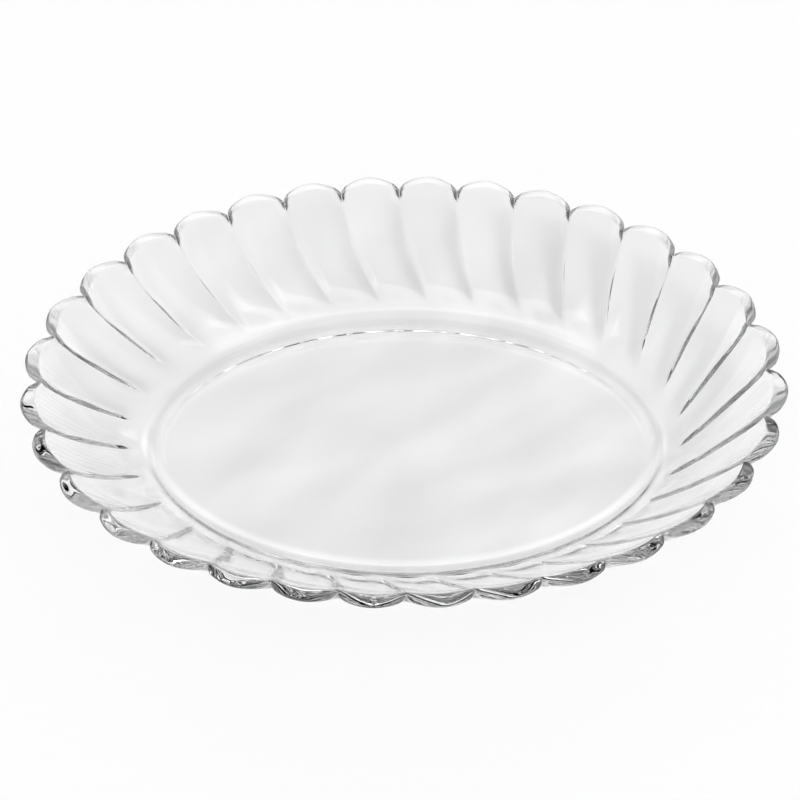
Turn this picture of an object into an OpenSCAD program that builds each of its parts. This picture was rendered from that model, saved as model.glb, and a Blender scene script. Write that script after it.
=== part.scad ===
// Oval platter of clear pressed glass: a flat floor on a low foot ring, and a flared wall of swirled
// flutes that ends in a thick scalloped rim. One piece, in millimetres, standing on Z = 0.

/* [Oval] */
// Length of the oval through the notches between the petals
oval_length = 311; // [240:1:420]
// Width of the oval through the notches between the petals
oval_width = 235; // [200:1:320]
// Number of petals round the rim
petals = 32; // [20:2:44]
// Place of the first notch round the oval, in petals from the +X end
first_notch = 0.2; // [0:0.05:1]

/* [Wall] */
// Width of the fluted wall, seen from above
wall_width = 38; // [28:0.5:48]
// Height of the fluted wall, from its foot up to the notches
wall_height = 37.5; // [30:0.5:46]
// Slope of the wall at its foot, in degrees from level
foot_slope = 32.5; // [18:0.5:38]
// Turn of the flutes from rim to foot, in petals
swirl = 0.64; // [0:0.02:1.2]
// Share of the turn that grows towards the foot
late_swirl = 0.68; // [0:0.02:1]

/* [Flutes] */
// Depth of a flute's hollow on the inside, at the rim
hollow = 1; // [0:0.1:1.6]
// Height of a flute's swell on the outside, at the rim
swell = 3.3; // [1:0.1:4.5]
// Distance that a petal's tip stands past its notches
scallop = 3; // [2:0.25:8]
// Place down the wall where the swells begin to fade, as a share of it; below 0 is above the notches
swell_fade = -0.3; // [-0.5:0.05:0.8]
// Place down the wall where the hollows begin to fade, as a share of it
hollow_fade = 0.75; // [0:0.05:0.9]

/* [Glass] */
// Thickness of the glass at the notches of the rim
rim_glass = 3.6; // [3:0.1:7]
// Thickness of the glass at the foot of the wall
wall_glass = 5; // [3:0.1:6.5]
// Thickness of the floor inside the foot ring
floor_glass = 5; // [3:0.1:7]
// Height of the rounded edge of the rim
edge_height = 0.6; // [0.3:0.1:3]
// How far the rim's outer edge stands up the wall past its inner edge, as a share of the glass there
edge_lead = 0.6; // [-0.2:0.05:0.7]

/* [Floor and foot] */
// Radius of the cove between floor and wall
cove_radius = 21; // [12:1:30]
// Height of the foot ring below the floor's underside
foot_height = 0.6; // [0.4:0.1:3]
// Distance of the foot ring's outer edge inside the foot of the wall
foot_inset = 0.5; // [0.2:0.1:4]
// Width of the foot ring's flat underside
foot_width = 4.5; // [3:0.5:14]
// Slope run of the foot ring's outer side
foot_lean = 3.4; // [0.5:0.1:4]
// Slope run of the foot ring's inner side
foot_draft = 2.2; // [0.5:0.1:4]
// Setback of the blend where the foot ring's outer side meets the wall
foot_blend = 1.6; // [0.3:0.1:2]

/* [Hidden] */

// Points across a petal, and rings up each face of the wall, over the rim and up the cove
petal_points = 6;
wall_rings = 8;
edge_rings = 4;
cove_rings = 2;
// Steps used to measure along the oval
oval_steps = 720;
// Squareness of the rounded rim edge: 2 is an ellipse, more is squarer
edge_square = 3;
// Depth below the table that the foot is cut from
foot_trim = 0.6;

columns = petals * petal_points;
half_length = oval_length / 2;
half_width = oval_width / 2;
floor_top = foot_height + floor_glass;
cove_run = cove_radius * sin(foot_slope);
cove_rise = cove_radius * (1 - cos(foot_slope));
notch_height = floor_top + cove_rise + wall_height;
// How far the wall's profile bends from a straight slope
wall_bend = 1 - wall_width * tan(foot_slope) / wall_height;
// Length of wall for each unit of its share, at the rim
rim_rate = norm([wall_width, wall_height * (1 + wall_bend)]);

// Distance along the notch oval, paired with the angle there
function oval_at(angle) = [half_length * cos(angle), half_width * sin(angle)];
function oval_step(i) = norm(oval_at(360 * (i + 1) / oval_steps) - oval_at(360 * i / oval_steps));
oval_table = [for (i = 0, run = 0; i <= oval_steps; run = run + oval_step(i), i = i + 1)
    [run, 360 * i / oval_steps]];
oval_run = oval_table[oval_steps][0];
half_pitch = oval_run / petals / 2;
function oval_angle(petal) = lookup(oval_run * (petal / petals - floor(petal / petals)), oval_table);

// A point a distance outside the notch oval, at a place round it counted in petals
function oval_point(petal, outward, height) =
    let (angle = oval_angle(petal))
    let (across = [half_width * cos(angle), half_length * sin(angle)])
    let (place = oval_at(angle) + outward * across / norm(across))
    [place.x, place.y, height];

// A smooth step from 0 to 1 between two limits
function ease(value, low, high) =
    let (share = max(0, min(1, (value - low) / (high - low))))
    share * share * (3 - 2 * share);

// Wall profile by its share: 0 at the notches, 1 at the foot, below 0 in a petal's tip
function wall_drop(share) = wall_height * (share + wall_bend * share * (1 - share));
function wall_slope(share) = atan2(wall_height * (1 + wall_bend - 2 * wall_bend * share), wall_width);
function wall_turn(share) = -swirl * share * (1 - late_swirl + late_swirl * share);
function wall_thickness(share) = rim_glass + (wall_glass - rim_glass) * max(0, share);

// A flute across its petal, from -1 at one ridge to 1 at the next
function petal_across(column) = 2 * (column % petal_points) / petal_points - 1;
function flute(column) = 1 - pow(petal_across(column), 2);

// A petal's end is an arc through its two notches
tip_radius = (pow(half_pitch, 2) + pow(scallop, 2)) / (2 * scallop);
function tip_reach(column) =
    sqrt(pow(tip_radius, 2) - pow(half_pitch * petal_across(column), 2)) - tip_radius + scallop;
function tip_share(column) = -tip_reach(column) / rim_rate;

// Depth of each face of the glass under the wall's plain profile
function inner_depth(column, share) = hollow * flute(column) * (1 - ease(share, hollow_fade, 1));
function outer_depth(column, share) =
    wall_thickness(share) + swell * flute(column) * (1 - ease(share, swell_fade, 1));

// Place down the wall of a spot on the rim, from 0 at its inner edge to 1 at its outer edge
function rim_share(column, through) =
    let (tip = tip_share(column))
    let (glass = outer_depth(column, tip) - inner_depth(column, tip))
    tip - through * edge_lead * glass / rim_rate;

// A point of the wall at a depth under its profile, reaching past it along the slope
function wall_point(column, share, depth, reach) =
    let (slope = wall_slope(share))
    oval_point(
        column / petal_points + first_notch + wall_turn(share),
        depth * sin(slope) + reach * cos(slope) - wall_width * share,
        notch_height - wall_drop(share) - depth * cos(slope) + reach * sin(slope)
    );

// Rings of points, from the floor up the inside, over the rim and down to the foot
function level_ring(outward, height) =
    [for (column = [0:columns - 1])
        oval_point(column / petal_points + first_notch + wall_turn(1), outward, height)];
function cove_ring(slope) =
    level_ring(cove_radius * sin(slope) - cove_run - wall_width, floor_top + cove_radius * (1 - cos(slope)));
function inner_ring(i) =
    [for (column = [0:columns - 1])
        let (share = 1 - i / wall_rings * (1 - tip_share(column)))
        wall_point(column, share, inner_depth(column, share), 0)];
function edge_ring(i) =
    [for (column = [0:columns - 1])
        let (angle = 180 * i / (edge_rings + 1))
        let (side = sign(cos(angle)) * pow(abs(cos(angle)), 2 / edge_square))
        let (through = (1 - side) / 2)
        let (share = rim_share(column, through))
        let (inside = inner_depth(column, share))
        let (depth = inside + through * (outer_depth(column, share) - inside))
        wall_point(column, share, depth, edge_height * pow(sin(angle), 2 / edge_square))];
function outer_ring(i) =
    [for (column = [0:columns - 1])
        let (brink = rim_share(column, 1))
        let (share = brink + i / wall_rings * (1 - brink))
        wall_point(column, share, outer_depth(column, share), 0)];

foot_outside = -wall_width - foot_inset;
foot_inside = foot_outside - foot_lean - foot_width;
// Height at which the wall's outer face would meet the foot ring's side, and the blend that fits there
foot_corner = floor_top + cove_rise - wall_glass / cos(foot_slope) - foot_inset * tan(foot_slope);
corner_share = 0.7;
side_run = norm([foot_lean, foot_corner]);
blend = min(foot_blend, corner_share * side_run);
blend_lean = blend * foot_lean / side_run;
trim_lean = foot_trim * foot_lean / foot_corner;

rings = concat(
    [for (i = [0:cove_rings]) cove_ring(foot_slope * i / (cove_rings + 1))],
    [for (i = [0:wall_rings]) inner_ring(i)],
    [for (i = [1:edge_rings]) edge_ring(i)],
    [for (i = [0:wall_rings]) outer_ring(i)],
    [level_ring(foot_outside + blend * cos(foot_slope), foot_corner + blend * sin(foot_slope))],
    [level_ring(foot_outside - blend_lean, foot_corner - blend * foot_corner / side_run)],
    [level_ring(foot_outside - foot_lean - trim_lean, -foot_trim)],
    [level_ring(foot_inside, -foot_trim)],
    [level_ring(foot_inside, 0)],
    [level_ring(foot_inside - foot_draft, foot_height)]
);

// The glass as one closed skin over the rings
module glass_skin() {
    last = len(rings) - 1;
    points = [for (ring = rings) each ring];
    floor_face = [[for (column = [0:columns - 1]) columns - 1 - column]];
    under_face = [[for (column = [0:columns - 1]) last * columns + column]];
    skin = [for (i = [0:last - 1], column = [0:columns - 1])
        let (next = (column + 1) % columns)
        let (low = i * columns)
        let (high = low + columns)
        each [[low + column, low + next, high + next], [low + column, high + next, high + column]]];
    polyhedron(points, concat(floor_face, under_face, skin), convexity = 6);
}

// The platter, with its foot ring cut flat to stand on
module platter() {
    slab = [2 * oval_length, 2 * oval_width, 2 * foot_trim];
    color([0.93, 0.95, 0.95, 0.45])
    difference() {
        glass_skin();
        translate([-slab.x / 2, -slab.y / 2, -slab.z]) cube(slab);
    }
}

platter();
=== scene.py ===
"""Looks of an oval platter of clear pressed glass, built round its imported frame."""

import dataclasses
import logging
import math
from dataclasses import dataclass
from enum import Enum

import bpy
from bpy.types import Material, Node, NodeSocket, NodeTree, Object
from mathutils import Euler, Matrix, Vector


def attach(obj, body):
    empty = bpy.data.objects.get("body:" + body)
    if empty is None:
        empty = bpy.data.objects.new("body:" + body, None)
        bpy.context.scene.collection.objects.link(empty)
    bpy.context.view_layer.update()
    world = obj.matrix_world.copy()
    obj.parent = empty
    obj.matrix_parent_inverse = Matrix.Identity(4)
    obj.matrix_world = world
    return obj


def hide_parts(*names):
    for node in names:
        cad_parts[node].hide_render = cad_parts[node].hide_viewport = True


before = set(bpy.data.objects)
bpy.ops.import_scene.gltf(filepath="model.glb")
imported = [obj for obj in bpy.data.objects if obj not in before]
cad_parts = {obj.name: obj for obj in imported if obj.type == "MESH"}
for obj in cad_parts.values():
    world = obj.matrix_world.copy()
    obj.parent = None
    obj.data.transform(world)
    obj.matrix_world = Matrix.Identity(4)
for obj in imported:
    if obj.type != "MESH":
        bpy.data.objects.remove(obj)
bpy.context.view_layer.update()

LOG = logging.getLogger("platter")
GRAIN_GROUP = "Fine unevenness"
TABLE = 0.0
WHITE = (1.0, 1.0, 1.0, 1.0)


class Part(Enum):
    """Names of the piece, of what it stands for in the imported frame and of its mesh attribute."""

    NODE = "platter"
    BODY = "root"
    SLOT = "clear_glass"
    PIECE = "glass_platter"
    BENT = "painted_ridge_shade"


class PassingRay(Enum):
    """Kinds of ray that pass the glass unbent."""

    SHADOW = "Is Shadow Ray"
    DIFFUSE = "Is Diffuse Ray"


@dataclass(frozen=True)
class Field:
    """A number that a node tree works out at every point.

    Attributes:
        socket: Output socket that carries the number.
    """

    socket: NodeSocket

    def __add__(self, other: "Field | float") -> "Field":
        """Adds."""
        return calc("ADD", self, other)

    def __radd__(self, other: float) -> "Field":
        """Adds to a plain number."""
        return calc("ADD", other, self)

    def __sub__(self, other: "Field | float") -> "Field":
        """Subtracts."""
        return calc("SUBTRACT", self, other)

    def __rsub__(self, other: float) -> "Field":
        """Subtracts from a plain number."""
        return calc("SUBTRACT", other, self)

    def __mul__(self, other: "Field | float") -> "Field":
        """Multiplies."""
        return calc("MULTIPLY", self, other)

    def __rmul__(self, other: float) -> "Field":
        """Multiplies a plain number."""
        return calc("MULTIPLY", other, self)

    def __truediv__(self, other: "Field | float") -> "Field":
        """Divides."""
        return calc("DIVIDE", self, other)

    def __rtruediv__(self, other: float) -> "Field":
        """Divides a plain number."""
        return calc("DIVIDE", other, self)

    def __neg__(self) -> "Field":
        """Turns the sign."""
        return calc("MULTIPLY", self, -1.0)


Number = Field | float
Span = tuple[float, float]
Spot = tuple[Number, Number]
Zone = tuple[int, NodeSocket, Number]
Colour = tuple[float, float, float, float]


def feed(slot: NodeSocket, value: Number) -> None:
    """Links a field to a socket, or sets a plain number on it.

    Args:
        slot: Input socket to fill.
        value: Field or plain number.
    """
    if isinstance(value, Field):
        slot.id_data.links.new(value.socket, slot)
    else:
        slot.default_value = value


def calc(operation: str, *values: Number) -> Field:
    """Adds one Math node.

    Args:
        operation: The node's operation.
        values: Its inputs in order, at least one of them a field.

    Returns:
        The node's result.
    """
    tree = next(v for v in values if isinstance(v, Field)).socket.id_data
    node = tree.nodes.new("ShaderNodeMath")
    node.operation = operation
    for slot, value in zip(node.inputs, values):
        feed(slot, value)
    return Field(node.outputs[0])


def ease(value: Field, low: Number, high: Number) -> Field:
    """Steps smoothly from 0 to 1.

    Args:
        value: Number that drives the step.
        low: Where the step starts.
        high: Where the step ends.

    Returns:
        The step.
    """
    node = value.socket.id_data.nodes.new("ShaderNodeMapRange")
    node.interpolation_type = "SMOOTHSTEP"
    feed(node.inputs["Value"], value)
    feed(node.inputs["From Min"], low)
    feed(node.inputs["From Max"], high)
    return Field(node.outputs[0])


def fade(value: Field, low: Number, high: Number) -> Field:
    """Steps smoothly from 1 to 0."""
    return 1.0 - ease(value, low, high)


@dataclass(frozen=True)
class PlatterSizes:
    """Sizes of the platter: lengths in metres, angles in radians, turns in petals, and plain shares."""

    # Oval through the notches, and the petals round it
    oval_length: float = 0.31086
    oval_width: float = 0.23486
    petals: int = 32
    first_notch: float = 0.2
    # Wall, with the turn of its flutes from rim to foot
    wall_width: float = 0.038
    wall_height: float = 0.03748
    foot_slope: float = math.radians(32.5)
    swirl: float = 0.64
    late_swirl: float = 0.68
    # Flutes: hollow inside, swell outside, and the reach of a petal's tip past its notches
    hollow: float = 0.001
    swell: float = 0.0033
    scallop: float = 0.003
    swell_fade: float = -0.3
    hollow_fade: float = 0.75
    # Grooves along the outside ridges, with widths in shares of half a petal
    ridge_round: float = 0.04
    crease: float = 0.00015
    crease_width: float = 0.07
    valley: float = 0.0009
    valley_width: float = 0.45
    notch: float = 0.002
    notch_width: float = 0.22
    # Painted shade in the glass's shadow: how closely it keeps to the ridges, and its share at the foot
    # ring
    ridge_power: float = 4.0
    foot_bent: float = 0.6
    # Glass and its rounded edge
    rim_glass: float = 0.0036
    wall_glass: float = 0.005
    floor_glass: float = 0.005
    edge_height: float = 0.0006
    edge_lead: float = 0.6
    edge_square: float = 3.0
    # Floor, with the cove and the soft lip round it
    cove_radius: float = 0.021
    floor_lip: float = math.radians(4)
    floor_dip: float = 0.0003
    lip_share: float = 0.08
    # Foot ring, with the rounding of its corners
    foot_height: float = 0.0006
    foot_inset: float = 0.0005
    foot_width: float = 0.0045
    foot_lean: float = 0.0034
    foot_draft: float = 0.0024
    foot_blend: float = 0.002
    foot_soft: float = 0.0015
    foot_round: float = 0.001


@dataclass(frozen=True)
class RidgeFades:
    """Shares of the wall between which the ridges' grooves and the painted shade in the glass's shadow come
    in and go out.
    """

    crease_out: Span = (0.3, 0.8)
    notch_out: Span = (0.0, 0.07)
    valley_in: Span = (0.15, 0.5)
    valley_out: Span = (0.7, 1.0)
    bent_in: Span = (-0.5, 0.3)
    bent_out: Span = (0.75, 1.0)


@dataclass(frozen=True)
class PlatterDetail:
    """How finely the platter's skin is divided."""

    petal_points: int = 20
    oval_points: int = 1440
    floor_rings: int = 15
    cove_rings: int = 7
    wall_rings: int = 34
    edge_rings: int = 16
    corner_rings: int = 4
    under_rings: int = 5
    merge_gap: float = 2e-6
    petal_slack: float = 1e-4


class PlatterTree:
    """Geometry Nodes tree that draws the platter's skin from its sizes."""

    def __init__(self, detail: PlatterDetail, fades: RidgeFades, material: Material) -> None:
        """Builds the tree.

        Args:
            detail: Divisions of the skin.
            fades: Where the ridges' features come in and go out.
            material: Finish set on the whole skin.
        """
        self.detail = detail
        self.fades = fades
        self.tree = bpy.data.node_groups.new("Fluted platter", "GeometryNodeTree")
        self.tree.is_modifier = True
        self.identifiers: dict[str, str] = {}
        self.sizes = self._size_inputs()
        self.tree.interface.new_socket("Geometry", in_out="OUTPUT", socket_type="NodeSocketGeometry")
        self._derive()
        self._locate()
        self.oval = self._oval_curve()
        self._finish(self._zones(), material)

    def _size_inputs(self) -> dict[str, Field]:
        """Gives the tree a named input for each size.

        Returns:
            The sizes as fields, by name.
        """
        items = dataclasses.fields(PlatterSizes)
        for item in items:
            kind = "NodeSocketInt" if item.type in (int, "int") else "NodeSocketFloat"
            label = item.name.replace("_", " ").capitalize()
            socket = self.tree.interface.new_socket(label, in_out="INPUT", socket_type=kind)
            self.identifiers[item.name] = socket.identifier
        outputs = self.tree.nodes.new("NodeGroupInput").outputs
        return {item.name: Field(output) for item, output in zip(items, outputs)}

    def _derive(self) -> None:
        """Works out the sizes that follow from others."""
        s = self.sizes
        self.half_length = s["oval_length"] * 0.5
        self.half_width = s["oval_width"] * 0.5
        self.slope_sine = calc("SINE", s["foot_slope"])
        self.slope_cosine = calc("COSINE", s["foot_slope"])
        foot_tangent = self.slope_sine / self.slope_cosine
        self.floor_top = s["foot_height"] + s["floor_glass"]
        self.cove_run = s["cove_radius"] * self.slope_sine
        self.cove_rise = s["cove_radius"] * (1.0 - self.slope_cosine)
        self.notch_height = self.floor_top + self.cove_rise + s["wall_height"]
        self.wall_bend = 1.0 - s["wall_width"] * foot_tangent / s["wall_height"]
        steep = s["wall_height"] * (1.0 + self.wall_bend)
        self.rim_rate = calc("SQRT", s["wall_width"] * s["wall_width"] + steep * steep)
        self.foot_outside = -s["wall_width"] - s["foot_inset"]
        self.foot_inside = self.foot_outside - s["foot_lean"] - s["foot_width"]
        under_wall = self.floor_top + self.cove_rise - s["wall_glass"] / self.slope_cosine
        self.foot_corner = under_wall - s["foot_inset"] * foot_tangent

    def _locate(self) -> None:
        """Finds each grid point's place: its petal, its place across it and its share of the zone."""
        s = self.sizes
        split = self.tree.nodes.new("ShaderNodeSeparateXYZ")
        position = self.tree.nodes.new("GeometryNodeInputPosition").outputs[0]
        self.tree.links.new(position, split.inputs[0])
        petal_points = float(self.detail.petal_points)
        self.columns = s["petals"] * petal_points
        self.along = Field(split.outputs["Y"]) + 0.5
        petal = (Field(split.outputs["X"]) + self.columns * 0.5) / petal_points
        whole = calc("FLOOR", petal + self.detail.petal_slack)
        even = (petal - whole) * 2.0 - 1.0
        across = calc("SINE", even * (math.pi / 2))
        self.petal = whole + (across + 1.0) * 0.5 + s["first_notch"]
        self.ridge = 1.0 - calc("ABSOLUTE", across)
        blunt = s["ridge_round"]
        self.outer_share = 1.0 - (calc("SQRT", self.ridge * self.ridge + blunt * blunt) - blunt)
        self.flute = 1.0 - self.outer_share * self.outer_share

    def _oval_curve(self) -> NodeSocket:
        """Draws the oval through the notches.

        Returns:
            The curve's socket.
        """
        circle = self.tree.nodes.new("GeometryNodeCurvePrimitiveCircle")
        circle.inputs["Resolution"].default_value = self.detail.oval_points
        circle.inputs["Radius"].default_value = 1.0
        stretch = self.tree.nodes.new("ShaderNodeVectorMath")
        stretch.operation = "MULTIPLY"
        self.tree.links.new(self.tree.nodes.new("GeometryNodeInputPosition").outputs[0], stretch.inputs[0])
        axes = self.tree.nodes.new("ShaderNodeCombineXYZ")
        feed(axes.inputs["X"], self.half_length)
        feed(axes.inputs["Y"], self.half_width)
        self.tree.links.new(axes.outputs[0], stretch.inputs[1])
        oval = self.tree.nodes.new("GeometryNodeSetPosition")
        self.tree.links.new(circle.outputs["Curve"], oval.inputs["Geometry"])
        self.tree.links.new(stretch.outputs[0], oval.inputs["Position"])
        length = self.tree.nodes.new("GeometryNodeCurveLength")
        self.tree.links.new(oval.outputs[0], length.inputs["Curve"])
        self.half_pitch = Field(length.outputs["Length"]) / self.sizes["petals"] * 0.5
        scallop = self.sizes["scallop"]
        self.tip_radius = (self.half_pitch * self.half_pitch + scallop * scallop) / (scallop * 2.0)
        return oval.outputs[0]

    def _spot(self, petal: Field, outward: Number, height: Number, shrink: Number = 1.0) -> NodeSocket:
        """Places a point by its petal, its distance outside the notch oval and its height.

        Args:
            petal: Place round the oval, in petals.
            outward: Distance outside the oval.
            height: Height above the table.
            shrink: Share of the way out from the middle of the platter.

        Returns:
            The position's socket.
        """
        sample = self.tree.nodes.new("GeometryNodeSampleCurve")
        sample.mode = "FACTOR"
        self.tree.links.new(self.oval, sample.inputs["Curves"])
        feed(sample.inputs["Factor"], calc("FRACT", petal / self.sizes["petals"] + 1.0))
        split = self.tree.nodes.new("ShaderNodeSeparateXYZ")
        self.tree.links.new(sample.outputs["Position"], split.inputs[0])
        x, y = Field(split.outputs["X"]), Field(split.outputs["Y"])
        lean_x = x / (self.half_length * self.half_length)
        lean_y = y / (self.half_width * self.half_width)
        step = outward / calc("SQRT", lean_x * lean_x + lean_y * lean_y)
        join = self.tree.nodes.new("ShaderNodeCombineXYZ")
        feed(join.inputs["X"], (x + step * lean_x) * shrink)
        feed(join.inputs["Y"], (y + step * lean_y) * shrink)
        feed(join.inputs["Z"], height)
        return join.outputs[0]

    def _turn(self, share: Field) -> Field:
        """Gives the swirl of the flutes at a share of the wall, in petals."""
        late = self.sizes["late_swirl"]
        return -(self.sizes["swirl"] * share * (1.0 - late + late * share))

    def _level(self, outward: Number, height: Number, shrink: Number = 1.0) -> NodeSocket:
        """Places a point below the wall, where the swirl has ended."""
        return self._spot(self.petal - self.sizes["swirl"], outward, height, shrink)

    def _wall(self, share: Field, depth: Field, reach: Number = 0.0) -> NodeSocket:
        """Places a point of the wall.

        Args:
            share: Share of the way down the wall.
            depth: Depth under the wall's plain profile, square to it.
            reach: Distance past that, up along the slope.

        Returns:
            The position's socket.
        """
        s = self.sizes
        rise = s["wall_height"] * (1.0 + self.wall_bend - 2.0 * self.wall_bend * share)
        slope = calc("ARCTAN2", rise, s["wall_width"])
        sine, cosine = calc("SINE", slope), calc("COSINE", slope)
        drop = s["wall_height"] * (share + self.wall_bend * share * (1.0 - share))
        outward = depth * sine + reach * cosine - s["wall_width"] * share
        height = self.notch_height - drop - depth * cosine + reach * sine
        return self._spot(self.petal + self._turn(share), outward, height)

    def _inner_depth(self, share: Field) -> Field:
        """Gives the hollow of the flutes on the inside."""
        return self.sizes["hollow"] * self.flute * fade(share, self.sizes["hollow_fade"], 1.0)

    def _outer_depth(self, share: Field) -> Field:
        """Gives the depth of the outside, with the flutes' swell and the grooves along the ridges.

        Args:
            share: Share of the way down the wall.

        Returns:
            The depth under the wall's plain profile.
        """
        s, fades = self.sizes, self.fades
        glass = s["rim_glass"] + (s["wall_glass"] - s["rim_glass"]) * calc("MAXIMUM", share, 0.0)
        swell = s["swell"] * self.flute * fade(share, s["swell_fade"], 1.0)
        crease = self._groove(s["crease"], s["crease_width"]) * fade(share, *fades.crease_out)
        notch = self._groove(s["notch"], s["notch_width"]) * fade(share, *fades.notch_out)
        middle = ease(share, *fades.valley_in) * fade(share, *fades.valley_out)
        valley = self._groove(s["valley"], s["valley_width"]) * middle
        return glass + swell - crease - notch - valley

    def _groove(self, depth: Field, width: Field) -> Field:
        """Gives a sharp groove along the ridges, with its half width in shares of half a petal."""
        near = calc("MAXIMUM", 1.0 - self.ridge / width, 0.0)
        return depth * near * near

    def _tip_share(self) -> Field:
        """Gives the share of the wall at a petal's end.

        Returns:
            The share, below 0 past the notches.
        """
        half_chord = self.half_pitch * self.outer_share
        reach = calc("SQRT", self.tip_radius * self.tip_radius - half_chord * half_chord)
        return -(reach - self.tip_radius + self.sizes["scallop"]) / self.rim_rate

    def _rim_share(self, through: Number) -> Field:
        """Gives the share of the wall at a place on the rim.

        Args:
            through: Place through the glass, from 0 at the inner edge to 1 at the outer edge.

        Returns:
            The share.
        """
        tip = self._tip_share()
        glass = self._outer_depth(tip) - self._inner_depth(tip)
        return tip - glass * self.sizes["edge_lead"] * through / self.rim_rate

    def _painted_shade_at(self, share: Field) -> Field:
        """Gives the share of painted shade that a spot of the wall puts into the glass's shadow, most at
        the ridges and none at the foot.
        """
        middle = ease(share, *self.fades.bent_in) * fade(share, *self.fades.bent_out)
        return calc("POWER", self.outer_share, self.sizes["ridge_power"]) * middle

    def _mix(self, first: Spot, last: Spot, share: Number) -> Spot:
        """Gives a spot a share of the way from one to another."""
        return tuple(a + (b - a) * share for a, b in zip(first, last))

    def _toward(self, corner: Spot, other: Spot, setback: Number) -> Spot:
        """Gives the spot a setback away from a corner, on the way to another."""
        run, rise = (b - a for a, b in zip(corner, other))
        return self._mix(corner, other, setback / calc("SQRT", run * run + rise * rise))

    def _foot_zones(self, corners: list[Spot], setbacks: list[Number], shade_shares: list[Number]) -> list[Zone]:
        """Draws the foot ring's profile with each inner corner rounded.

        Args:
            corners: Its corners, outward and up.
            setbacks: Distance from each inner corner at which its rounding starts.
            shade_shares: Share of painted shade in the glass's shadow up to each inner corner.

        Returns:
            The zones, each straight stretch and rounding in turn.
        """
        zones: list[Zone] = []
        last = corners[0]
        for before, corner, after, setback, bent in zip(corners, corners[1:], corners[2:], setbacks, shade_shares):
            start, end = self._toward(corner, before, setback), self._toward(corner, after, setback)
            zones.append((1, self._level(*self._mix(last, start, self.along)), bent))
            first_leg, second_leg = self._mix(start, corner, self.along), self._mix(corner, end, self.along)
            bend = self._level(*self._mix(first_leg, second_leg, self.along))
            zones.append((self.detail.corner_rings, bend, bent))
            last = end
        return zones

    def _edge(self) -> NodeSocket:
        """Places a point on the rounded edge of the rim.

        Returns:
            The position's socket.
        """
        s = self.sizes
        angle = self.along * math.pi
        power = 2.0 / s["edge_square"]
        cosine = calc("COSINE", angle)
        side = calc("SIGN", cosine) * calc("POWER", calc("ABSOLUTE", cosine), power)
        through = (1.0 - side) * 0.5
        share = self._rim_share(through)
        inside = self._inner_depth(share)
        depth = inside + through * (self._outer_depth(share) - inside)
        rise = calc("POWER", calc("MAXIMUM", calc("SINE", angle), 0.0), power)
        return self._wall(share, depth, s["edge_height"] * rise)

    def _zones(self) -> list[Zone]:
        """Lists the skin's zones from the middle of the floor, over the rim, to the middle underneath.

        Returns:
            Each zone's rings, the position of its points and the painted shade they put into the glass's
            shadow.
        """
        s, d = self.sizes, self.detail
        floor_edge = -s["wall_width"] - self.cove_run
        cove_angle = s["floor_lip"] + (s["foot_slope"] - s["floor_lip"]) * self.along
        cove_out = floor_edge + s["cove_radius"] * calc("SINE", cove_angle)
        cove_up = self.floor_top + s["cove_radius"] * (1.0 - calc("COSINE", cove_angle))
        shrink = 1.0 - (1.0 - self.along) * (1.0 - self.along)
        lip = calc("MAXIMUM", (shrink - 1.0) / s["lip_share"] + 1.0, 0.0)
        lip_out = floor_edge + s["cove_radius"] * calc("SINE", s["floor_lip"])
        lip_up = self.floor_top + s["cove_radius"] * (1.0 - calc("COSINE", s["floor_lip"]))
        floor_up = lip_up - s["floor_dip"] * (1.0 - lip * lip)
        tip = self._tip_share()
        inner = 1.0 - self.along * (1.0 - tip)
        brink = self._rim_share(1.0)
        outer = brink + self.along * (1.0 - brink)
        wall_end = (
            s["wall_glass"] * self.slope_sine - s["wall_width"],
            self.floor_top + self.cove_rise - s["wall_glass"] * self.slope_cosine,
        )
        draft_out = self.foot_inside - s["foot_draft"]
        foot = [
            wall_end,
            (self.foot_outside, self.foot_corner),
            (self.foot_outside - s["foot_lean"], TABLE),
            (self.foot_inside, TABLE),
            (draft_out, s["foot_height"]),
            (draft_out - s["foot_width"], s["foot_height"]),
        ]
        rounding = [s["foot_blend"], s["foot_soft"], s["foot_round"], s["foot_round"]]
        under_edge = draft_out - s["foot_round"]
        return [
            (d.floor_rings, self._level(lip_out, floor_up, shrink), 0.0),
            (d.cove_rings, self._level(cove_out, cove_up), 0.0),
            (d.wall_rings, self._wall(inner, self._inner_depth(inner)), self._painted_shade_at(inner)),
            (d.edge_rings, self._edge(), self._painted_shade_at(tip)),
            (d.wall_rings, self._wall(outer, self._outer_depth(outer)), self._painted_shade_at(outer)),
            # The foot ring's outer slope puts painted shade into the glass's shadow
            *self._foot_zones(foot, rounding, [0.0, s["foot_bent"], 0.0, 0.0]),
            (d.under_rings, self._level(under_edge, s["foot_height"], 1.0 - self.along), 0.0),
        ]

    def _grid(self, rings: int, position: NodeSocket, bent: Number) -> NodeSocket:
        """Lays one zone's grid of points on its place.

        Args:
            rings: Steps along the profile.
            position: Where its points go.
            bent: Share of painted shade that its points put into the glass's shadow.

        Returns:
            The zone's mesh.
        """
        grid = self.tree.nodes.new("GeometryNodeMeshGrid")
        feed(grid.inputs["Size X"], self.columns)
        grid.inputs["Size Y"].default_value = 1.0
        feed(grid.inputs["Vertices X"], self.columns + 1.0)
        grid.inputs["Vertices Y"].default_value = rings + 1
        # Store the share of painted shade that the glass's shadow colour reads
        mark = self.tree.nodes.new("GeometryNodeStoreNamedAttribute")
        mark.inputs["Name"].default_value = Part.BENT.value
        feed(mark.inputs["Value"], bent)
        self.tree.links.new(grid.outputs["Mesh"], mark.inputs["Geometry"])
        place = self.tree.nodes.new("GeometryNodeSetPosition")
        self.tree.links.new(mark.outputs[0], place.inputs["Geometry"])
        self.tree.links.new(position, place.inputs["Position"])
        return place.outputs[0]

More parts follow.
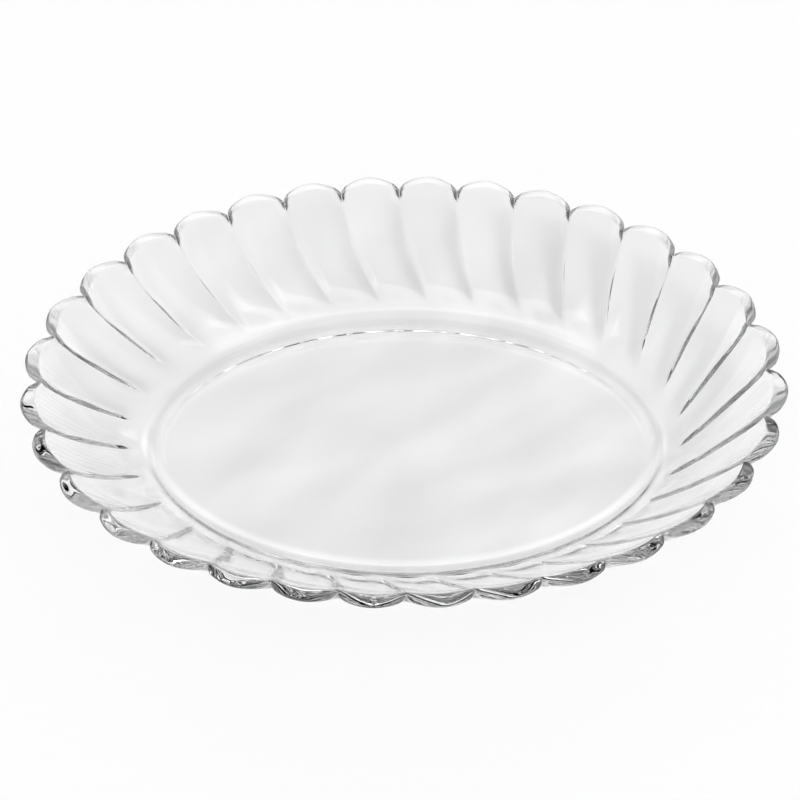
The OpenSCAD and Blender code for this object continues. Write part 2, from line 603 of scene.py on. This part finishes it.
    def _finish(self, zones: list[Zone], material: Material) -> None:
        """Joins the zones into one closed smooth skin with its finish.

        Args:
            zones: Each zone's rings, the position of its points and the painted shade they put into the
                glass's shadow.
            material: Finish of the skin.
        """
        join = self.tree.nodes.new("GeometryNodeJoinGeometry")
        for zone in zones:
            self.tree.links.new(self._grid(*zone), join.inputs[0])
        merge = self.tree.nodes.new("GeometryNodeMergeByDistance")
        merge.inputs["Distance"].default_value = self.detail.merge_gap
        outward = self.tree.nodes.new("GeometryNodeFlipFaces")
        smooth = self.tree.nodes.new("GeometryNodeSetShadeSmooth")
        realize = self.tree.nodes.new("GeometryNodeRealizeInstances")
        finish = self.tree.nodes.new("GeometryNodeSetMaterial")
        finish.inputs["Material"].default_value = material
        result = self.tree.nodes.new("NodeGroupOutput")
        chain = [join, merge, outward, smooth, realize, finish, result]
        for before, after in zip(chain, chain[1:]):
            self.tree.links.new(before.outputs[0], after.inputs[0])


def grain_group() -> NodeTree:
    """Builds the shader group for fine unevenness, or gives the one that is there.

    Returns:
        The group, whose height and roughness change over the surface.
    """
    made = bpy.data.node_groups.get(GRAIN_GROUP)
    if made:
        return made
    group = bpy.data.node_groups.new(GRAIN_GROUP, "ShaderNodeTree")
    group.interface.new_socket("Vector", in_out="INPUT", socket_type="NodeSocketVector")
    for name in ("Scale", "Detail", "Smoothest", "Roughest"):
        group.interface.new_socket(name, in_out="INPUT", socket_type="NodeSocketFloat")
    for name in ("Height", "Roughness"):
        group.interface.new_socket(name, in_out="OUTPUT", socket_type="NodeSocketFloat")
    given, result = group.nodes.new("NodeGroupInput"), group.nodes.new("NodeGroupOutput")
    noise = group.nodes.new("ShaderNodeTexNoise")
    for name in ("Vector", "Scale", "Detail"):
        group.links.new(given.outputs[name], noise.inputs[name])
    dull = group.nodes.new("ShaderNodeMapRange")
    group.links.new(noise.outputs["Fac"], dull.inputs["Value"])
    group.links.new(given.outputs["Smoothest"], dull.inputs["To Min"])
    group.links.new(given.outputs["Roughest"], dull.inputs["To Max"])
    group.links.new(noise.outputs["Fac"], result.inputs["Height"])
    group.links.new(dull.outputs["Result"], result.inputs["Roughness"])
    return group


def start_finish(name: str, colour: Colour) -> tuple[Material, NodeSocket]:
    """Starts a material with one plain colour.

    Args:
        name: The material's name.
        colour: Base colour of its shader.

    Returns:
        The material, and the object coordinates that its patterns read.
    """
    material = bpy.data.materials.new(name)
    material.use_nodes = True
    nodes = material.node_tree.nodes
    nodes["Principled BSDF"].inputs["Base Color"].default_value = colour
    return material, nodes.new("ShaderNodeTexCoord").outputs["Object"]


def add_grain(place: NodeSocket, scale: float, detail: float, rough: Span) -> Node:
    """Places the unevenness group in a material.

    Args:
        place: Coordinates that its pattern reads.
        scale: Fineness of the pattern.
        detail: Finer steps in the pattern.
        rough: Least and greatest roughness.

    Returns:
        The group's node.
    """
    tree = place.id_data
    grain = tree.nodes.new("ShaderNodeGroup")
    grain.node_tree = grain_group()
    tree.links.new(place, grain.inputs["Vector"])
    for name, value in zip(("Scale", "Detail", "Smoothest", "Roughest"), (scale, detail, *rough)):
        grain.inputs[name].default_value = value
    return grain


def wear_grain(rough: NodeSocket, height: NodeSocket, depth: float) -> None:
    """Gives a material's shader its roughness and its raised pattern.

    Args:
        rough: Roughness over the surface.
        height: Raised pattern, from 0 to 1.
        depth: Height of its tops.
    """
    tree = height.id_data
    shader = tree.nodes["Principled BSDF"]
    bump = tree.nodes.new("ShaderNodeBump")
    bump.inputs["Distance"].default_value = depth
    tree.links.new(height, bump.inputs["Height"])
    tree.links.new(bump.outputs["Normal"], shader.inputs["Normal"])
    tree.links.new(rough, shader.inputs["Roughness"])


def stretch_range(value: NodeSocket, low: float, high: float) -> NodeSocket:
    """Turns a pattern from 0 to 1 into one between two plain numbers.

    Args:
        value: The pattern.
        low: What 0 becomes.
        high: What 1 becomes.

    Returns:
        The new pattern.
    """
    node = value.id_data.nodes.new("ShaderNodeMapRange")
    node.inputs["To Min"].default_value = low
    node.inputs["To Max"].default_value = high
    value.id_data.links.new(value, node.inputs["Value"])
    return node.outputs["Result"]


@dataclass(frozen=True)
class ClearGlass:
    """Fire-polished clear pressed glass, with the soft waves that pressing leaves.

    Light that falls through it is dimmed by painted shade along the flutes' ridges and round the foot ring,
    and made lighter and darker all over by soft painted caustics.
    """

    colour: Colour = (0.95, 0.954, 0.952, 1.0)
    refraction: float = 1.51
    wave_scale: float = 45.0
    wave_detail: float = 1.0
    wave_depth: float = 0.00002
    haze_scale: float = 18.0
    haze_detail: float = 2.0
    rough: Span = (0.0, 0.02)
    # Colour of the glass's shadow: plain, and darkened by painted shade along the ridges
    pass_plain: float = 0.975
    pass_ridge: float = 0.79
    # Painted caustics: soft patches of light and shade painted into the glass's shadow
    blotch_size: tuple[float, float, float] = (0.06, 0.02, 0.06)
    painted_caustic_turn: float = math.radians(35)
    painted_caustic_depth: float = 0.22

    def material(self) -> Material:
        """Builds the finish.

        Returns:
            The material.
        """
        material, place = start_finish("Clear pressed glass", self.colour)
        nodes, links = material.node_tree.nodes, material.node_tree.links
        shader = nodes["Principled BSDF"]
        shader.inputs["IOR"].default_value = self.refraction
        shader.inputs["Transmission Weight"].default_value = 1.0
        waves = add_grain(place, self.wave_scale, self.wave_detail, self.rough)
        haze = add_grain(place, self.haze_scale, self.haze_detail, self.rough)
        wear_grain(haze.outputs["Roughness"], waves.outputs["Height"], self.wave_depth)
        # Shadow and diffuse rays pass a transparent shader whose colour holds the painted shade and painted
        # caustics
        clear = nodes.new("ShaderNodeBsdfTransparent")
        links.new(self._passed_light(place), clear.inputs["Color"])
        path = nodes.new("ShaderNodeLightPath")
        surface = shader.outputs[0]
        for ray in PassingRay:
            mix = nodes.new("ShaderNodeMixShader")
            links.new(path.outputs[ray.value], mix.inputs["Fac"])
            links.new(surface, mix.inputs[1])
            links.new(clear.outputs[0], mix.inputs[2])
            surface = mix.outputs[0]
        links.new(surface, nodes["Material Output"].inputs["Surface"])
        return material

    def _passed_light(self, place: NodeSocket) -> NodeSocket:
        """Works out the share of light that falls through each spot of the glass, with painted shade along
        the ridges and soft painted caustics.

        Args:
            place: Coordinates that the painted caustics read.

        Returns:
            The share, as a grey.
        """
        nodes, links = place.id_data.nodes, place.id_data.links
        bent = nodes.new("ShaderNodeAttribute")
        bent.attribute_name = Part.BENT.value
        lay = nodes.new("ShaderNodeMapping")
        lay.vector_type = "TEXTURE"
        lay.inputs["Rotation"].default_value = (0.0, 0.0, self.painted_caustic_turn)
        lay.inputs["Scale"].default_value = self.blotch_size
        links.new(place, lay.inputs["Vector"])
        # Painted caustics: noise that makes the glass's shadow lighter and darker in soft patches
        painted_caustic = nodes.new("ShaderNodeTexNoise")
        painted_caustic.inputs["Scale"].default_value = 1.0
        links.new(lay.outputs[0], painted_caustic.inputs["Vector"])
        half = self.painted_caustic_depth / 2
        passed = nodes.new("ShaderNodeMix")
        passed.data_type, passed.blend_type = "RGBA", "MULTIPLY"
        passed.inputs["Factor"].default_value = 1.0
        ridges = stretch_range(bent.outputs["Fac"], self.pass_plain, self.pass_ridge)
        painted_caustics = stretch_range(painted_caustic.outputs["Fac"], 1.0 - half, 1.0 + half)
        links.new(ridges, passed.inputs["A"])
        links.new(painted_caustics, passed.inputs["B"])
        return passed.outputs["Result"]


@dataclass
class Platter:
    """The platter: one piece of pressed glass."""

    sizes: PlatterSizes = PlatterSizes()
    fades: RidgeFades = RidgeFades()
    detail: PlatterDetail = PlatterDetail()
    finish: ClearGlass = ClearGlass()

    def build(self) -> Object:
        """Draws the skin with its node tree and keeps it as a plain mesh.

        Returns:
            The piece, at the origin.
        """
        tree = PlatterTree(self.detail, self.fades, self.finish.material())
        piece = bpy.data.objects.new(Part.PIECE.value, bpy.data.meshes.new("holder"))
        bpy.context.scene.collection.objects.link(piece)
        modifier = piece.modifiers.new("Fluted platter", "NODES")
        modifier.node_group = tree.tree
        for name, identifier in tree.identifiers.items():
            modifier[identifier] = getattr(self.sizes, name)
        depsgraph = bpy.context.evaluated_depsgraph_get()
        mesh = bpy.data.meshes.new_from_object(piece.evaluated_get(depsgraph))
        piece.modifiers.clear()
        piece.data = mesh
        mesh.name = Part.PIECE.value
        return piece

    def place(self) -> Object:
        """Builds the piece and ties it to the frame.

        Returns:
            The piece.
        """
        piece = self.build()
        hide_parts(Part.NODE.value)
        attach(piece, Part.BODY.value)
        return piece


@dataclass(frozen=True)
class PaleFloor:
    """Matt white studio floor."""

    colour: Colour = (0.93, 0.93, 0.93, 1.0)
    rough: Span = (0.82, 0.98)
    grain_scale: float = 220.0
    grain_detail: float = 2.0
    grain_depth: float = 0.00001

    def material(self) -> Material:
        """Builds the finish.

        Returns:
            The material.
        """
        material, place = start_finish("Pale studio floor", self.colour)
        material.node_tree.nodes["Principled BSDF"].inputs["Specular IOR Level"].default_value = 0.0
        grain = add_grain(place, self.grain_scale, self.grain_detail, self.rough)
        wear_grain(grain.outputs["Roughness"], grain.outputs["Height"], self.grain_depth)
        return material


@dataclass(frozen=True)
class KeyLamp:
    """The studio's broad sun, with its turn and spread in degrees."""

    energy: float = 2.85
    turn: tuple[float, float, float] = (43.0, 0.0, 9.0)
    spread: float = 9.0

    def place(self) -> Object:
        """Hangs the lamp.

        Returns:
            The lamp.
        """
        data = bpy.data.lights.new("Key", "SUN")
        data.energy = self.energy
        data.angle = math.radians(self.spread)
        lamp = bpy.data.objects.new("Key", data)
        lamp.visible_glossy = False
        lamp.visible_transmission = False
        lamp.rotation_euler = Euler([math.radians(a) for a in self.turn])
        bpy.context.scene.collection.objects.link(lamp)
        return lamp


@dataclass(frozen=True)
class Panel:
    """One soft light panel in the surroundings, with its place, half sizes and soft edge in degrees."""

    azimuth: float
    elevation: float
    width: float
    height: float
    soft: float
    strength: float
    facing: Span = (0.0, 0.01)

    def light(self, direction: NodeSocket) -> Field:
        """Gives the panel's light in a direction.

        Args:
            direction: Direction looked in.

        Returns:
            The light.
        """
        turn, lift = math.radians(self.azimuth), math.radians(self.elevation)
        ahead = Vector((math.sin(turn) * math.cos(lift), -math.cos(turn) * math.cos(lift), math.sin(lift)))
        right = Vector((math.cos(turn), math.sin(turn), 0.0))
        up = right.cross(ahead) * -1.0
        depth, *offsets = (self._along(direction, axis) for axis in (ahead, right, up))
        cover = ease(depth, *self.facing)
        soft = math.radians(self.soft)
        for offset, half in zip(offsets, (self.width, self.height)):
            angle = calc("ABSOLUTE", calc("ARCTAN2", offset, depth))
            edge = math.radians(half)
            cover = cover * fade(angle, edge - soft, edge + soft)
        return cover * self.strength

    @staticmethod
    def _along(direction: NodeSocket, axis: Vector) -> Field:
        """Gives a direction's part along an axis.

        Args:
            direction: Direction looked in.
            axis: Axis of one unit's length.

        Returns:
            The part along it.
        """
        node = direction.id_data.nodes.new("ShaderNodeVectorMath")
        node.operation = "DOT_PRODUCT"
        direction.id_data.links.new(direction, node.inputs[0])
        node.inputs[1].default_value = axis
        return Field(node.outputs["Value"])


@dataclass
class Studio:
    """Floor, lamp, surroundings and camera."""

    floor_reach: float = 30.0
    floor_drop: float = 0.0002
    finish: PaleFloor = PaleFloor()
    key: KeyLamp = KeyLamp()
    panels: tuple[Panel, ...] = (
        Panel(azimuth=0.0, elevation=72.0, width=35.0, height=7.0, soft=3.0, strength=1.7),
        Panel(azimuth=180.0, elevation=34.0, width=32.0, height=7.0, soft=4.0, strength=2.2),
        Panel(azimuth=92.0, elevation=48.0, width=20.0, height=22.0, soft=8.0, strength=0.7),
        Panel(azimuth=-92.0, elevation=48.0, width=20.0, height=22.0, soft=8.0, strength=0.3),
    )
    # Light overhead and at the horizon, and the rise over which one becomes the other
    dusk: float = 0.03
    glow: float = 1.0
    fall: Span = (0.13, 0.19)
    # Camera, with its focal length in pixels of the photograph's side
    azimuth: float = math.radians(3.409)
    elevation: float = math.radians(47.347)
    roll: float = math.radians(-1.986)
    photo_side: int = 800
    focal_pixels: float = 2201.57
    distance: float = 0.94784
    aim_height: float = 0.04639
    aim_shift: Span = (0.00096, 0.01061)
    sensor: float = 36.0
    # Bounces of light that clear glass needs
    bounces: int = 32
    glossy_bounces: int = 20
    transmission_bounces: int = 24

    def lay_floor(self) -> Object:
        """Lays the floor just under the foot ring.

        Returns:
            The floor.
        """
        reach, level = self.floor_reach, -self.floor_drop
        sides = ((-reach, -reach), (reach, -reach), (reach, reach), (-reach, reach))
        mesh = bpy.data.meshes.new("floor")
        mesh.from_pydata([(x, y, level) for x, y in sides], [], [(0, 1, 2, 3)])
        mesh.materials.append(self.finish.material())
        floor = bpy.data.objects.new("floor", mesh)
        bpy.context.scene.collection.objects.link(floor)
        return floor

    def surround(self) -> None:
        """Sets the surroundings: pale at the horizon, dusky overhead, with soft panels."""
        world = bpy.data.worlds.new("Studio")
        bpy.context.scene.world = world
        world.use_nodes = True
        nodes, links = world.node_tree.nodes, world.node_tree.links
        direction = nodes.new("ShaderNodeTexCoord").outputs["Generated"]
        split = nodes.new("ShaderNodeSeparateXYZ")
        links.new(direction, split.inputs[0])
        light = self.glow + (self.dusk - self.glow) * ease(Field(split.outputs["Z"]), *self.fall)
        for panel in self.panels:
            light = light + panel.light(direction)
        feed(nodes["Background"].inputs["Strength"], light)
        nodes["Background"].inputs["Color"].default_value = WHITE

    def set_camera(self) -> Object:
        """Sets the camera at the photograph's viewing angle.

        Returns:
            The camera.
        """
        data = bpy.data.cameras.new("Camera")
        data.sensor_width = self.sensor
        data.lens = self.focal_pixels / self.photo_side * self.sensor
        ahead = Vector((
            -math.sin(self.azimuth) * math.cos(self.elevation),
            math.cos(self.azimuth) * math.cos(self.elevation),
            -math.sin(self.elevation),
        ))
        level = Vector((math.cos(self.azimuth), math.sin(self.azimuth), 0.0))
        upward = level.cross(ahead)
        right = math.cos(self.roll) * level + math.sin(self.roll) * upward
        up = right.cross(ahead)
        middle = Vector((0.0, 0.0, self.aim_height))
        place = middle - ahead * self.distance - right * self.aim_shift[0] - up * self.aim_shift[1]
        camera = bpy.data.objects.new("Camera", data)
        turn = Matrix((right, up, -ahead)).transposed().to_4x4()
        camera.matrix_world = Matrix.Translation(place) @ turn
        bpy.context.scene.collection.objects.link(camera)
        bpy.context.scene.camera = camera
        return camera

    def build(self) -> None:
        """Sets up the studio."""
        scene = bpy.context.scene
        scene.view_settings.view_transform = "Standard"
        scene.cycles.max_bounces = self.bounces
        scene.cycles.glossy_bounces = self.glossy_bounces
        scene.cycles.transmission_bounces = self.transmission_bounces
        self.lay_floor()
        self.key.place()
        self.surround()
        self.set_camera()


def main() -> None:
    """Builds the studio and the platter, and logs the platter's face count."""
    logging.basicConfig(level=logging.INFO, format="%(message)s")
    Studio().build()
    piece = Platter().place()
    LOG.info("%s: %d faces", piece.name, len(piece.data.polygons))


if __name__ == "__main__":
    main()
